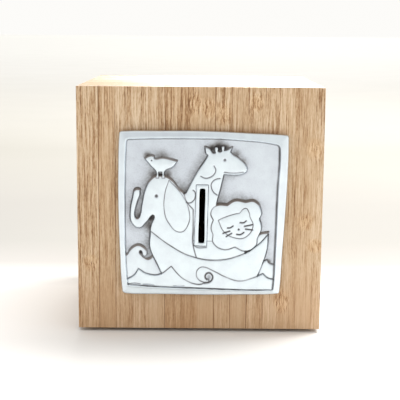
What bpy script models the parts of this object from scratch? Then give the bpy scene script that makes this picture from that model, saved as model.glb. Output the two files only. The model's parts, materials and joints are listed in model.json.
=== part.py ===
"""Wooden money box: a bamboo cube with a cast metal plaque on its front.

Metres, +Z up. The front looks along -Y. The origin is on the surface the box stands on, under
the middle of everything, the plaque's thickness included. The box is a ring of top, base and two
sides, closed by a full-size front and back panel. Coins go in through the slot in the plaque and
come out through a round hole in the base, which a soft stopper plugs from below.
"""

import math

import bmesh
import bpy
from mathutils import Matrix

MM = 0.001

# Driving dimensions
SIDE = 130 * MM             # the wooden cube
PANEL = 10 * MM             # thickness of every wooden panel
EDGE = 0.4 * MM             # softened edges of the panels
GAP = 0.3 * MM              # between pieces that touch

COIN_SLOT = (3.3 * MM, 29 * MM)     # through the plaque: width, height
SLOT_LEAN = math.radians(0.8)       # the casting's slot is not quite upright
SLOT_CENTRE = (0.7 * MM, -1.8 * MM)     # from the middle of the front panel
WOOD_SLOT = (8 * MM, 35 * MM)       # through the front panel and the foam behind the plaque
WOOD_SLOT_CORNER = 3.5 * MM

FOAM = 0.8 * MM             # double-sided foam that holds the plaque
FOAM_SCALE = 0.95
PLATE = 2.0 * MM            # floor of the plaque's recess, from its back
RIM = 3.4 * MM              # the plaque's border, from its back
PLAQUE = 3.6 * MM           # the plaque's highest point, from its back

HOLE_RADIUS = 19 * MM       # emptying hole in the base
HOLE_SIDES = 64
STOPPER_FLANGE_RADIUS = 22 * MM
STOPPER_FLANGE = 1.0 * MM
STOPPER_FLOOR = 2.4 * MM
STOPPER_WALL = 2.2 * MM
STOPPER_STAND = 2.0 * MM    # how far the plug reaches past the base into the box
STOPPER_TAPER = 0.4 * MM
NOTCH_RADIUS = 3 * MM       # fingernail notch in the flange

FOOT_HEIGHT = 1.8 * MM      # from the ground to the underside of the wood
FOOT_RADIUS = 6 * MM
FOOT_INSET = 18 * MM        # from the wood's outer faces to a foot's middle

# Where the wood lies
STAND_OUT = GAP + FOAM + GAP + PLAQUE       # how far the plaque reaches in front of the wood
MIDDLE_Y = STAND_OUT / 2
HALF = SIDE / 2
FRONT = MIDDLE_Y - HALF
BACK = MIDDLE_Y + HALF
BOTTOM = FOOT_HEIGHT
TOP = BOTTOM + SIDE
CENTRE_Z = BOTTOM + HALF
PLAQUE_BACK = FRONT - GAP - FOAM - GAP

# Outlines on the plaque, in millimetres right of and above the middle of the front panel.
# A third value of 1 makes the point a sharp corner.
PLAQUE_OUTLINE = [
    (-42.6, 41.6), (-41.6, 42.7), (-20, 43.1), (2, 43.1), (25, 42.2), (44.9, 41.2), (45.8, 40.4),
    (45.7, 20), (44.9, 0), (43.7, -22), (42.6, -42.4), (41.6, -44), (20, -44.7), (0, -44.9),
    (-20, -44.7), (-39.8, -44.4), (-41.4, -42.9), (-42.6, -22), (-43.3, 0), (-43.3, 22),
]
RECESS_OUTLINE = [
    (-38.9, 37.4), (-37.6, 38.6), (0, 39.2), (20, 38.5), (39.6, 36.3), (41.4, 34), (40.7, 12),
    (39.9, -20), (39, -41), (38, -41.9), (0, -41.2), (-37.4, -39.6), (-38.4, -38.6), (-39.6, -20),
    (-39.7, 10),
]
SLOT_FRAME = [(-1.9, 14.7, 1), (3.8, 14.5, 1), (3.2, -18.3, 1), (-3.3, -18.2, 1)]
BIRD = [
    (-29, 28.2, 1), (-27.3, 29.3), (-25, 29.5), (-23.8, 27.9), (-19.6, 28.5), (-12.6, 26.9, 1),
    (-14.6, 24.2), (-18.8, 21.8), (-18.9, 18.4, 1), (-23.3, 18.4, 1), (-23.4, 21.6), (-26, 24.6),
]
ELEPHANT = [
    (-21.2, 19.1), (-16.4, 17.7), (-11.6, 12.3), (-7.4, 5.2), (-3.2, 1, 1), (-3.4, -15),
    (-1.8, -25.2, 1), (-14, -21.5), (-26.4, -12.6, 1), (-26.2, -8), (-24.2, -2.4), (-25.4, -1.6),
    (-28.5, -5.4), (-32.4, -8.5), (-36.3, -5.4), (-36.9, 0.4), (-35.8, 7.2), (-34.2, 11.6),
    (-31.8, 11.1), (-33.4, 5), (-34.6, -1), (-33.2, -3.8), (-31.6, -1), (-30.8, 4), (-28.8, 12.4),
    (-25, 18),
]
EAR = [
    (-16.6, 17, 1), (-18.6, 10), (-18.9, 1), (-16.6, -5.6), (-10.9, -10.4), (-6.6, -6.4),
    (-6.2, 1), (-9.6, 9),
]
GIRAFFE = [
    (-7.8, 10), (-3, 17), (4.6, 28.9), (2.6, 31.6), (2.2, 34.6, 1), (4.6, 33.6), (7.1, 31.2),
    (7.4, 34.2), (9, 34.2), (9.2, 32.3), (10.8, 32.4), (10.9, 34.8), (12.4, 34.7), (12.4, 32.8),
    (16.4, 34.6, 1), (15.8, 31.8), (20, 28.5), (24.1, 24.2), (23.6, 21.6), (19.4, 20.1),
    (12.2, 20.3, 1), (10.6, 13.4), (8.4, 3), (8, -20, 1), (-2.6, -20, 1), (-3, 1.6, 1),
]
LION_MANE = [
    (7, -4, 1), (5.7, 0), (8.4, 3.5), (14.3, 3.7, 1), (18.4, 6.2), (23.7, 5.5, 1), (28.6, 5.8),
    (32.2, 0.6), (31.2, -3.2, 1), (32.3, -8.4), (30.1, -13.7, 1), (29.4, -17.6), (24.6, -20.6),
    (18.5, -18.3, 1), (12.6, -19.7), (7.2, -16.4), (6.9, -11.8, 1), (5.9, -8),
]
LION_FACE = [
    (9.7, -4.2, 1), (11.6, -3.1), (17.4, -1), (20.7, -0.3, 1), (23.7, 2.3), (25.6, 0), (26, -2),
    (27.7, -7), (24.3, -12.6), (18.9, -13.4), (12.8, -10.2),
]
HULL = [
    (-26.2, -10.4, 1), (-16, -18), (-5, -23.8), (9, -25.9), (22, -22.8), (31, -17), (36, -11.6, 1),
    (35.4, -20), (32.6, -29), (28, -38, 1), (-17, -38, 1), (-22.6, -28.4), (-26.6, -19),
]
FRONT_WAVE = [
    (-38.8, -36.5, 1), (-35, -34.2), (-32.7, -30.8, 1), (-28, -33.5), (-21.4, -33.7),
    (-15.3, -29.4, 1), (-10.6, -34.8), (-4.6, -38.3), (-0.6, -37), (-1.9, -33.4), (1, -29.5),
    (7, -31.6), (14.2, -35.2), (21.3, -37.1), (28, -35.4), (33.5, -33, 1), (36, -35.2),
    (39.2, -36, 1), (38.9, -42.4, 1), (0, -41.8), (-38.6, -40.2, 1),
]
BACK_WAVE_LEFT = [
    (-39.9, -24, 1), (-36.6, -20.2), (-32.6, -17.8), (-28.6, -19.2), (-28.4, -23.2),
    (-31.2, -21.9), (-31.3, -24.4), (-27.4, -26, 1), (-20, -33, 1), (-20, -38, 1),
    (-39.3, -38, 1),
]
BACK_WAVE_RIGHT = [
    (32, -29, 1), (33.6, -26.8), (35.6, -25.7, 1), (37.4, -27.8), (40, -28.2, 1), (39.5, -38, 1),
    (30, -38, 1),
]
# What stands up from the recess, and how high above the plaque's back, in millimetres.
RELIEF = {
    "back_wave_left": (BACK_WAVE_LEFT, 2.5),
    "back_wave_right": (BACK_WAVE_RIGHT, 2.55),
    "giraffe": (GIRAFFE, 2.8),
    "elephant": (ELEPHANT, 2.9),
    "bird": (BIRD, 2.85),
    "ear": (EAR, 3.15),
    "lion_mane": (LION_MANE, 3.0),
    "lion_face": (LION_FACE, 3.25),
    "hull": (HULL, 3.1),
    "front_wave": (FRONT_WAVE, 3.3),
    "slot_frame": (SLOT_FRAME, 3.6),
}


def clear_scene():
    for obj in list(bpy.data.objects):
        bpy.data.objects.remove(obj, do_unlink=True)


def make_collection(name):
    collection = bpy.data.collections.new(name)
    bpy.context.scene.collection.children.link(collection)
    return collection


def make_material(name, colour, roughness, metallic=0.0):
    material = bpy.data.materials.new(name)
    material.use_nodes = True
    shader = material.node_tree.nodes["Principled BSDF"]
    shader.inputs["Base Color"].default_value = (*colour, 1)
    shader.inputs["Roughness"].default_value = roughness
    shader.inputs["Metallic"].default_value = metallic
    return material


def add_object(name, mesh, collection, material=None, location=(0, 0, 0)):
    obj = bpy.data.objects.new(name, mesh)
    obj.location = location
    collection.objects.link(obj)
    if material:
        mesh.materials.append(material)
    return obj


def mesh_from(name, bm):
    mesh = bpy.data.meshes.new(name)
    bm.to_mesh(mesh)
    bm.free()
    return mesh


def make_cutter(name, mesh, location=(0, 0, 0)):
    """A closed shape that is only there to be cut away."""
    cutter = add_object(name, mesh, cutters, location=location)
    cutter.hide_render = True
    cutter.display_type = "WIRE"
    return cutter


def combine(obj, other, operation="DIFFERENCE"):
    modifier = obj.modifiers.new(f"{operation.lower()}_{other.name}", "BOOLEAN")
    modifier.operation = operation
    modifier.object = other


def soften(obj, width, segments=2):
    modifier = obj.modifiers.new("softened_edges", "BEVEL")
    modifier.width = width
    modifier.segments = segments
    modifier.limit_method = "ANGLE"


def make_panel(name, low, high, material):
    """A wooden board between two corners, with softened edges."""
    size = [b - a for a, b in zip(low, high)]
    middle = [(a + b) / 2 for a, b in zip(low, high)]
    bm = bmesh.new()
    bmesh.ops.create_cube(bm, size=1, matrix=Matrix.Diagonal((*size, 1)))
    obj = add_object(name, mesh_from(name, bm), money_box, material, middle)
    soften(obj, EDGE)
    return obj


def make_disc(name, radius, height, sides):
    bm = bmesh.new()
    bmesh.ops.create_cone(
        bm, cap_ends=True, segments=sides, radius1=radius, radius2=radius, depth=height
    )
    return mesh_from(name, bm)


def rounded_slot_mesh(name, width, height, corner, depth, lean=0.0):
    """A prism along Y with four round corners."""
    bm = bmesh.new()
    bmesh.ops.create_cube(bm, size=1, matrix=Matrix.Diagonal((width, depth, height, 1)))
    along_y = [e for e in bm.edges if abs(e.verts[0].co.y - e.verts[1].co.y) > depth / 2]
    bmesh.ops.bevel(
        bm, geom=along_y, offset=corner, segments=5, profile=0.5, affect="EDGES"
    )
    bmesh.ops.rotate(bm, verts=bm.verts, matrix=Matrix.Rotation(lean, 3, "Y"))
    return mesh_from(name, bm)


def flat_mesh(name, outline, back, front, scale=1.0):
    """A flat shape on the front of the box, from an outline in millimetres.

    back and front are its faces' distances in front of PLAQUE_BACK, in metres.
    """
    curve = bpy.data.curves.new(name, "CURVE")
    curve.dimensions = "2D"
    curve.fill_mode = "BOTH"
    curve.resolution_u = 4
    curve.extrude = (front - back) / 2
    spline = curve.splines.new("BEZIER")
    spline.bezier_points.add(len(outline) - 1)
    spline.use_cyclic_u = True
    for point, (right, up, *sharp) in zip(spline.bezier_points, outline):
        point.co = (right * MM * scale, up * MM * scale, 0)
        handle = "VECTOR" if sharp else "AUTO"
        point.handle_left_type = point.handle_right_type = handle
    obj = bpy.data.objects.new(name, curve)
    obj.rotation_euler.x = math.pi / 2
    obj.location = (0, PLAQUE_BACK - (front + back) / 2, CENTRE_Z)
    bpy.context.scene.collection.objects.link(obj)
    bpy.context.view_layer.update()
    graph = bpy.context.evaluated_depsgraph_get()
    mesh = bpy.data.meshes.new_from_object(obj.evaluated_get(graph))
    mesh.transform(obj.matrix_world)
    bm = bmesh.new()
    bm.from_mesh(mesh)
    bmesh.ops.remove_doubles(bm, verts=bm.verts, dist=0.001 * MM)
    bmesh.ops.recalc_face_normals(bm, faces=bm.faces)
    bm.to_mesh(mesh)
    bm.free()
    bpy.data.objects.remove(obj)
    return mesh


def make_panels():
    """Six boards. Each that fits between others is shorter by the gap at both ends."""
    inner = HALF - PANEL
    inner_front = FRONT + PANEL + GAP
    inner_back = BACK - PANEL - GAP
    under_top = TOP - PANEL
    make_panel("top_panel", (-HALF, inner_front, under_top), (HALF, inner_back, TOP), bamboo)
    for name, sign in (("left_panel", -1), ("right_panel", 1)):
        left, right = sorted((sign * HALF, sign * inner))
        low = (left, inner_front, BOTTOM)
        make_panel(name, low, (right, inner_back, under_top - GAP), bamboo)
    make_panel("back_panel", (-HALF, BACK - PANEL, BOTTOM), (HALF, BACK, TOP), bamboo)

    front = make_panel("front_panel", (-HALF, FRONT, BOTTOM), (HALF, FRONT + PANEL, TOP), bamboo)
    slot = rounded_slot_mesh("wood_slot", *WOOD_SLOT, WOOD_SLOT_CORNER, 3 * PANEL)
    combine(front, make_cutter("wood_slot", slot, slot_place(FRONT)))

    base = make_panel(
        "base_panel",
        (-inner + GAP, inner_front, BOTTOM),
        (inner - GAP, inner_back, BOTTOM + PANEL),
        bamboo,
    )
    hole = make_disc("emptying_hole", HOLE_RADIUS, 3 * PANEL, HOLE_SIDES)
    combine(base, make_cutter("emptying_hole", hole, (0, MIDDLE_Y, BOTTOM)))


def slot_place(y):
    """The middle of the coin slot, at a given depth."""
    return (SLOT_CENTRE[0], y, CENTRE_Z + SLOT_CENTRE[1])


def make_plaque():
    """One casting: a plate with a raised border, a low relief in its recess and the coin slot."""
    plaque = add_object("plaque", flat_mesh("plaque", PLAQUE_OUTLINE, 0, RIM), money_box, cast_metal)
    recess = flat_mesh("recess", RECESS_OUTLINE, PLATE, 2 * RIM)
    combine(plaque, make_cutter("recess", recess))
    for number, (name, (outline, height)) in enumerate(RELIEF.items()):
        root = PLATE / 2 + number * 0.05 * MM       # each shape is rooted at its own depth
        shape = flat_mesh(f"relief_{name}", outline, root, height * MM)
        combine(plaque, make_cutter(f"relief_{name}", shape), "UNION")
    slot = rounded_slot_mesh("coin_slot", *COIN_SLOT, 1 * MM, 3 * PANEL, SLOT_LEAN)
    combine(plaque, make_cutter("coin_slot", slot, slot_place(FRONT)))


def make_foam_pad():
    """Double-sided foam behind the plaque, a little smaller than it, cut away at the slot."""
    mesh = flat_mesh("foam_pad", PLAQUE_OUTLINE, -GAP - FOAM, -GAP, FOAM_SCALE)
    pad = add_object("foam_pad", mesh, money_box, foam)
    combine(pad, bpy.data.objects["wood_slot"])


def make_stopper():
    """A soft plug turned about the vertical axis of its origin, which is under the base."""
    outer = HOLE_RADIUS - GAP
    height = GAP + PANEL + STOPPER_STAND
    inner = outer - STOPPER_WALL
    lip = 0.5 * MM
    profile = [
        (0, STOPPER_FLOOR), (inner - 1 * MM, STOPPER_FLOOR), (inner, STOPPER_FLOOR + 1 * MM),
        (inner - STOPPER_TAPER, height), (outer - STOPPER_TAPER - lip, height),
        (outer - STOPPER_TAPER, height - lip), (outer, 0),
        (STOPPER_FLANGE_RADIUS - lip, 0), (STOPPER_FLANGE_RADIUS, -lip),
        (STOPPER_FLANGE_RADIUS - lip, -STOPPER_FLANGE), (0, -STOPPER_FLANGE),
    ]
    bm = bmesh.new()
    points = [bm.verts.new((radius, 0, up)) for radius, up in profile]
    for pair in zip(points, points[1:]):
        bm.edges.new(pair)
    place = (0, MIDDLE_Y, BOTTOM - GAP)
    stopper = add_object("stopper", mesh_from("stopper", bm), money_box, soft_rubber, place)
    screw = stopper.modifiers.new("turned", "SCREW")
    screw.steps = screw.render_steps = HOLE_SIDES
    screw.use_merge_vertices = True
    screw.merge_threshold = 0.00001
    notch = make_disc("notch", NOTCH_RADIUS, 1.6 * MM, 24)
    edge_place = (0, MIDDLE_Y - STOPPER_FLANGE_RADIUS, BOTTOM - GAP - STOPPER_FLANGE)
    combine(stopper, make_cutter("notch", notch, edge_place))


def make_feet():
    """Four felt discs near the corners of the underside."""
    height = FOOT_HEIGHT - GAP
    for depth, sign_y in (("front", -1), ("back", 1)):
        for side, sign_x in (("left", -1), ("right", 1)):
            name = f"foot_{depth}_{side}"
            reach = HALF - FOOT_INSET
            place = (sign_x * reach, MIDDLE_Y + sign_y * reach, height / 2)
            mesh = make_disc(name, FOOT_RADIUS, height, 40)
            soften(add_object(name, mesh, money_box, felt, place), 0.2 * MM)


clear_scene()
money_box = make_collection("money_box")
cutters = make_collection("cutters")
bamboo = make_material("bamboo", (0.62, 0.42, 0.24), 0.5)
cast_metal = make_material("cast_metal", (0.80, 0.81, 0.82), 0.35, 1.0)
foam = make_material("foam", (0.75, 0.75, 0.72), 0.9)
soft_rubber = make_material("soft_rubber", (0.05, 0.05, 0.05), 0.6)
felt = make_material("felt", (0.16, 0.12, 0.09), 1.0)
make_panels()
make_plaque()
make_foam_pad()
make_stopper()
make_feet()
for obj in money_box.objects:
    obj.data.shade_smooth()
    obj.data.set_sharp_from_angle(angle=math.radians(30))
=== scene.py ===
"""The looks of the wooden money box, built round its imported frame.

Sizes are in metres in the frame, and in millimetres on the plaque, where every outline is given
right of and above the middle of the front panel.
"""

import json
import math

import bmesh
import bpy
import numpy as np
from mathutils import Matrix, Vector
from mathutils.geometry import tessellate_polygon

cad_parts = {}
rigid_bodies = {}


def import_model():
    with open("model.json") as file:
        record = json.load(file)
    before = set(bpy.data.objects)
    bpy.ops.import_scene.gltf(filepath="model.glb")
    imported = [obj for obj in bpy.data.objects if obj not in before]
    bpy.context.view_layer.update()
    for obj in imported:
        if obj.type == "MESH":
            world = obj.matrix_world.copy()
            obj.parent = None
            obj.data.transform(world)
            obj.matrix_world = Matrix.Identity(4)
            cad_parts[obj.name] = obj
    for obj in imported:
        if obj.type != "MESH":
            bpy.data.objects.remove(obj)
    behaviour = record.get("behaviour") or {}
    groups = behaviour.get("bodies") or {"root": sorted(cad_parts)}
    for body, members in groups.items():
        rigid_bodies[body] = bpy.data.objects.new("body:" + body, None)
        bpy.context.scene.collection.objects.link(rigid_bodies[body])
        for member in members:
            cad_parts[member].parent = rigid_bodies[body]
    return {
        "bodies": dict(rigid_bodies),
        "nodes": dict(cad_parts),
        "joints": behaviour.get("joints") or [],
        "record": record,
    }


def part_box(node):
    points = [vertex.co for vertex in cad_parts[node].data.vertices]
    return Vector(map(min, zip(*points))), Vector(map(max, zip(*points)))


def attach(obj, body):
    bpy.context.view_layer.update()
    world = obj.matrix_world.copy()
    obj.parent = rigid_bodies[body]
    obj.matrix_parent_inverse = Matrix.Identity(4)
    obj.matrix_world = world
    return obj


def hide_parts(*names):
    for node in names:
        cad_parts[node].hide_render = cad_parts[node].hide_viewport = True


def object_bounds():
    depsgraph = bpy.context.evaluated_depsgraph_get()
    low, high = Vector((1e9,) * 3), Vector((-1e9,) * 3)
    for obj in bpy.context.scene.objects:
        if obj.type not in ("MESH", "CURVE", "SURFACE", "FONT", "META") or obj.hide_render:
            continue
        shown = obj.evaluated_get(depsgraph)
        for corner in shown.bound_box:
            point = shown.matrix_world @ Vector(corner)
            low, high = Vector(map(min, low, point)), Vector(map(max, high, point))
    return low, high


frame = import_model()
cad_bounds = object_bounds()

MM = 0.001

# ---------------------------------------------------------------- sizes

SEAM = 0.05 * MM            # half the width of a glue line between boards
BOARD_EDGE = 0.2 * MM       # rounding of the boards' edges
STRIP = 8.75 * MM           # width of one laminated bamboo strip
HOLE_RADIUS = 19 * MM       # of the emptying hole in the base
PLAQUE_TOP = 41 * MM        # of the plaque's upper edge, above the middle of the front panel

SPACING = 0.2               # mm between the points of the plaque's surface
PLATE = 2.0                 # mm from the plaque's back to the floor of its recess
RIM_OUTER = 2.6             # mm from the back to the frame's outer edge, and to its inner edge
RIM = 3.4
WALL = 0.4                  # mm over which a raised shape climbs
REACH = 5.0                 # mm round an outline in which distances are worked out

front_low, front_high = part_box("front_panel")
_, plaque_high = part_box("plaque")
FRONT = front_low.y
CENTRE = Vector(((front_low.x + front_high.x) / 2, FRONT, (front_low.z + front_high.z) / 2))
PLAQUE_BACK = plaque_high.y

# ---------------------------------------------------------------- outlines on the plaque, in mm
# A third value of 1 makes the point a sharp corner.

PLAQUE_OUTLINE = [
    (-42.3, 40.9), (-41.3, 42), (-19.7, 42.4), (2.3, 42.4), (25.2, 41.5), (45.1, 40.5), (46, 39.7),
    (45.9, 19.4), (45.1, -0.5), (43.9, -22.4), (42.8, -42.8), (41.8, -44.4), (20.2, -45.1),
    (0.3, -45.3), (-19.7, -45.1), (-39.5, -44.8), (-41.1, -43.3), (-42.3, -22.4), (-43, -0.5),
    (-43, 21.4),
]
RECESS_OUTLINE = [
    (-38.6, 36.7), (-37.3, 37.9), (0.3, 38.5), (20.2, 37.8), (39.8, 35.6), (41.6, 33.3), (40.9, 11.4),
    (40.1, -20.5), (39.2, -41.4), (38.2, -42.3), (0.3, -41.6), (-37.1, -40), (-38.1, -39),
    (-39.3, -20.5), (-39.4, 9.4),
]
COIN_SLOT = [
    (-0.2, 11.6), (0.4, 12.2), (2.1, 12.2), (2.8, 11.6), (2.6, -2.5), (2.5, -16.2), (1.9, -16.8),
    (-0.2, -16.8), (-0.8, -16.2), (-0.5, -2.5),
]
SLOT_FRAME = [(-1.9, 14.2, 1), (4.3, 14.1, 1), (3.6, -18.6, 1), (-3, -18.3, 1)]
BIRD = [
    (-28.7, 27.6, 1), (-27, 28.7), (-24.7, 28.9), (-23.5, 27.3), (-19.3, 27.9), (-12.3, 26.3, 1),
    (-14.3, 23.6), (-18.5, 21.2), (-18.6, 17.8, 1), (-19.9, 17.8, 1), (-20, 20.8, 1),
    (-21.7, 20.8, 1), (-21.8, 17.8, 1), (-23, 17.8, 1), (-23.1, 21), (-25.7, 24),
]
ELEPHANT = [
    (-20.9, 18.5), (-16.1, 17.1), (-11.2, 11.6), (-8.7, 9.2), (-7.2, 5.2), (-3.7, 1, 1),
    (-3.7, -11), (-3.8, -17), (-1.7, -25.6, 1), (-13.7, -21.9), (-26.1, -13.1, 1), (-25.9, -8.5),
    (-24, -3), (-25.1, -2.2), (-28.2, -5.9), (-32.1, -9), (-36, -5.9), (-36.6, -0.1), (-35.5, 6.6),
    (-33.9, 11), (-31.5, 10.5), (-33.1, 4.5), (-34.3, -1.5), (-33, -4.3), (-31.3, -1.5),
    (-30.5, 3.5), (-28.5, 11.8), (-24.7, 17.4),
]
EAR = [
    (-16.3, 16.4, 1), (-18.3, 9.4), (-18.6, 0.5), (-16.3, -6.1), (-10.6, -10.9), (-6.3, -6.9),
    (-5.9, 0.5), (-9.3, 8.4),
]
GIRAFFE = [
    (-8.8, 8.6, 1), (-7.4, 9.5, 1), (-1.8, 20.2), (3.9, 29.4), (2.9, 30.9), (2.5, 33.9, 1),
    (4.8, 32.9), (7.3, 30.6), (7.6, 33.5), (9.2, 33.5), (9.4, 31.6), (11, 31.7), (11.1, 34.1),
    (12.6, 34), (12.6, 32.1), (16.6, 33.9, 1), (16, 31.1), (20.2, 27.9), (24.3, 23.6), (23.8, 21),
    (19.6, 19.5), (12.4, 19.7, 1), (10.8, 12.8), (8.6, 2.5), (8.2, -26, 1), (-5, -26, 1),
    (-5, -1, 1), (-8.8, 2, 1),
]
DECK = [(-5, -16, 1), (24, -16, 1), (24, -27, 1), (-5, -27, 1)]
LION_MANE = [
    (7.2, -4.5, 1), (5.9, -0.5), (8.6, 3), (14.5, 3.2, 1), (18.6, 5.6), (23.9, 4.9, 1), (28.8, 5.2),
    (32.4, 0.1), (31.4, -3.7, 1), (32.5, -8.9), (30.3, -14.2, 1), (29.6, -18.1), (24.8, -21.1),
    (18.7, -18.8, 1), (12.8, -20.2), (7.4, -16.9), (7.1, -12.3, 1), (6.1, -8.5),
]
LION_FACE = [
    (9.9, -4.7, 1), (11.8, -3.6), (17.6, -1.5), (20.9, -0.8, 1), (23.9, 1.8), (25.8, -0.5), (26.2, -2.5),
    (27.9, -7.5), (24.5, -13.1), (19.1, -13.9), (13, -10.7),
]
HULL = [
    (-25.9, -10.9, 1), (-15.7, -18.5), (-4.7, -24.2), (9.2, -26.3), (22.2, -23.2),
    (31.2, -17.5), (36.2, -12.1, 1), (35.6, -20.5), (32.8, -29.4), (28.2, -41, 1),
    (-16.7, -41, 1), (-22.3, -28.8), (-26.3, -19.5),
]
FAR_GUNWALE = [
    (29.8, -13.7, 1), (32.4, -12.1), (36.1, -11.4, 1), (35.2, -15, 1), (28.2, -20.5, 1),
    (24.2, -20.5, 1),
]
FRONT_WAVE = [
    (-42, -38.8, 1), (-38.5, -36.9), (-34.7, -34.6), (-32.4, -31.2, 1), (-27.7, -33.9), (-21.1, -34.1),
    (-15, -29.8, 1), (-10.3, -35.2), (-6, -38), (-2.3, -39.3), (0.8, -39.4), (3.4, -38.3, 1),
    (1.5, -37.7), (-0.4, -36.5), (-1.5, -34), (-0.6, -31.1), (2.1, -30),
    (7.2, -32), (14.4, -35.6), (21.5, -37.5), (28.2, -35.8), (33.7, -33.4, 1), (36.2, -35.6),
    (39.4, -36.4), (42, -36.6, 1), (42, -46, 1), (-42, -46, 1),
]
BACK_WAVE_LEFT = [
    (-42, -26, 1), (-38.3, -23.6), (-36.8, -21.4), (-34.7, -19.5), (-32.6, -18.7), (-30.5, -19.4),
    (-28.6, -21.1), (-27.9, -22.5), (-28.4, -24), (-29.4, -24.4), (-30.2, -23.6), (-30.6, -22),
    (-31.5, -21.4), (-31.9, -22.7), (-30.8, -24.2), (-29.7, -25.2), (-27.8, -26.2), (-26.3, -26),
    (-24.7, -24.6, 1), (-20, -33, 1), (-20, -40, 1), (-42, -40, 1),
]
BACK_WAVE_RIGHT = [
    (32.2, -29.4, 1), (33.8, -27.2), (35.8, -26.1, 1), (37.6, -28.2), (42, -28.8, 1), (42, -40, 1),
    (30, -38.4, 1),
]
# (outline, height above the back, width of the dark line round it, width of the slope on its
# upper sides), all in mm
RELIEF = [
    (BACK_WAVE_LEFT, 2.45, 0.36, 0.8),
    (BACK_WAVE_RIGHT, 2.55, 0.3, 0.3),
    (GIRAFFE, 2.9, 0.34, 0.5),
    (DECK, 2.8, 0.2, 0),
    (ELEPHANT, 2.95, 0.34, 0.9),
    (BIRD, 2.85, 0.3, 0.7),
    (EAR, 3.05, 0.24, 0),
    (FAR_GUNWALE, 2.5, 0.28, 0.8),
    (LION_MANE, 3.0, 0.3, 1.0),
    (LION_FACE, 3.15, 0.24, 0),
    (HULL, 3.15, 0.3, 0),
    (FRONT_WAVE, 3.25, 0.3, 0),
    (SLOT_FRAME, 3.5, 0.19, 0),
]
# Engraved lines: (points, width in mm, how dark)
ENGRAVED = [
    ([(-37.4, -39.3), (-34.6, -38.9), (-31.4, -39.3)], 0.2, 0.5),
    ([(-30, -39.5), (-26.5, -39.5), (-24, -40)], 0.17, 0.35),
    ([(-14, -40.2), (-10.5, -40.4), (-8, -40.2)], 0.16, 0.25),
    ([(7.2, 24.3), (8.1, 22.1), (7, 19.6), (4.8, 18.1), (2.5, 17.8), (0.3, 18.8)], 0.32, 0.7),
    ([(10.4, 17.7), (7.9, 17.1), (6, 15.2), (5.9, 13), (7, 10.5), (8.9, 8.9)], 0.32, 0.7),
    ([(-3.7, 11.4), (-2.6, 10.2), (-2.6, 7.4), (-4.1, 5.2), (-6, 4.5), (-7.2, 5)], 0.32, 0.75),
    ([(12.6, 21), (17.3, 20.6), (22.6, 21.1)], 0.32, 0.65),
    ([(14.6, -8.6), (16, -8.5), (17.5, -7.5)], 0.36, 1),
    ([(21.2, -5.7), (23, -5.7), (24.4, -4.7)], 0.36, 1),
    ([(19.5, -12), (21.4, -12.1), (23.2, -11)], 0.38, 1),
    ([(12.3, -11.5), (15.8, -10.3)], 0.38, 1),
    ([(14, -13.2), (16.8, -11.5)], 0.36, 1),
    ([(23.6, -7.6), (27.9, -6.7)], 0.38, 1),
    ([(24.1, -9.1), (27.8, -9.6)], 0.36, 1),
    ([(-3.1, -18.1), (-1.1, -19.4), (3.6, -19.3)], 0.26, 0.6),
    ([(-37.7, -39.3), (-31.7, -40), (-19.7, -40.7), (0.3, -41.4), (24.2, -42.2), (37.2, -42)],
     0.26, 0.6),
    ([(2.6, -38.6), (5.5, -37.9), (7, -35.8), (6.5, -33.9), (4.9, -33), (3.4, -33.9),
      (3.1, -35.5), (4, -36.6)], 0.5, 0.85),
    ([(3.9, -36.6), (5, -36.6), (4.9, -37.6)], 0.4, 0.7),
]
# Places with a heavier patina: (right, up, radius, amount)
SOOT = [
    (5.9, 33.3, 1.6, 0.7), (9.7, 33.7, 1.9, 0.75), (13.4, 33.7, 1.6, 0.7), (9.5, 35, 3.4, 0.25),
    (19, 30.6, 1.8, 0.25), (22.6, 27, 1.6, 0.2), (-27.6, 29.4, 1.6, 0.6), (-20, 29.2, 2.6, 0.25),
    (-20.8, 18.9, 1, 0.9), (-24.6, 19.6, 2, 0.35), (-17, 19.4, 2, 0.35), (-31.6, -3, 2.2, 0.35),
    (-25.6, -3.6, 1.6, 0.7), (-26.4, -8, 2.4, 0.4), (-8, 9.4, 2.4, 0.3), (-31.2, -22.3, 0.8, 0.9),
    (11, 2, 3, 0.25), (7, -4, 1.5, 0.3),
    (26, -21, 2.6, 0.5), (36.5, -27, 1.2, 0.5),
]
# Places where the patina is wiped off: (right, up, radius, amount)
WIPED = [(24.3, 23.2, 2.6, 0.7), (18, 20.8, 4, 0.45), (-22, 25.6, 3, 0.35)]
# Round dents: (right, up, radius, how dark)
DENTS = [
    (-25.4, 26.9, 0.42, 0.8), (-22.9, 8.1, 0.95, 0.75), (12.8, 27.4, 0.8, 0.62),
    (20.5, -9.4, 0.55, 0.9), (5.1, -35.4, 1.3, 0.36), (-37.9, -39.5, 0.6, 0.6),
]


# ---------------------------------------------------------------- the plaque's surface

def curve_points(points, closed=True, steps=10):
    """A smooth line through the points, with a corner where a point is marked sharp."""
    places = np.array([p[:2] for p in points], float)
    sharp = [len(p) > 2 for p in points]
    count = len(points)
    if not closed:
        sharp[0] = sharp[-1] = True
    t = np.linspace(0, 1, steps, endpoint=False)[:, None]
    line = []
    for i in range(count if closed else count - 1):
        j = (i + 1) % count
        a, b = places[i], places[j]
        length = np.linalg.norm(b - a)

        def handle(at, towards, is_sharp, k):
            if is_sharp:
                return at + (towards - at) / 3
            way = places[(k + 1) % count] - places[k - 1]
            way = way / np.linalg.norm(way)
            sign = 1 if k == i else -1
            return at + sign * way * 0.39 * length

        c, d = handle(a, b, sharp[i], i), handle(b, a, sharp[j], j)
        line.append(
            (1 - t) ** 3 * a + 3 * (1 - t) ** 2 * t * c + 3 * (1 - t) * t**2 * d + t**3 * b
        )
    line = np.concatenate(line)
    return line if closed else np.concatenate([line, places[-1:]])


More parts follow.
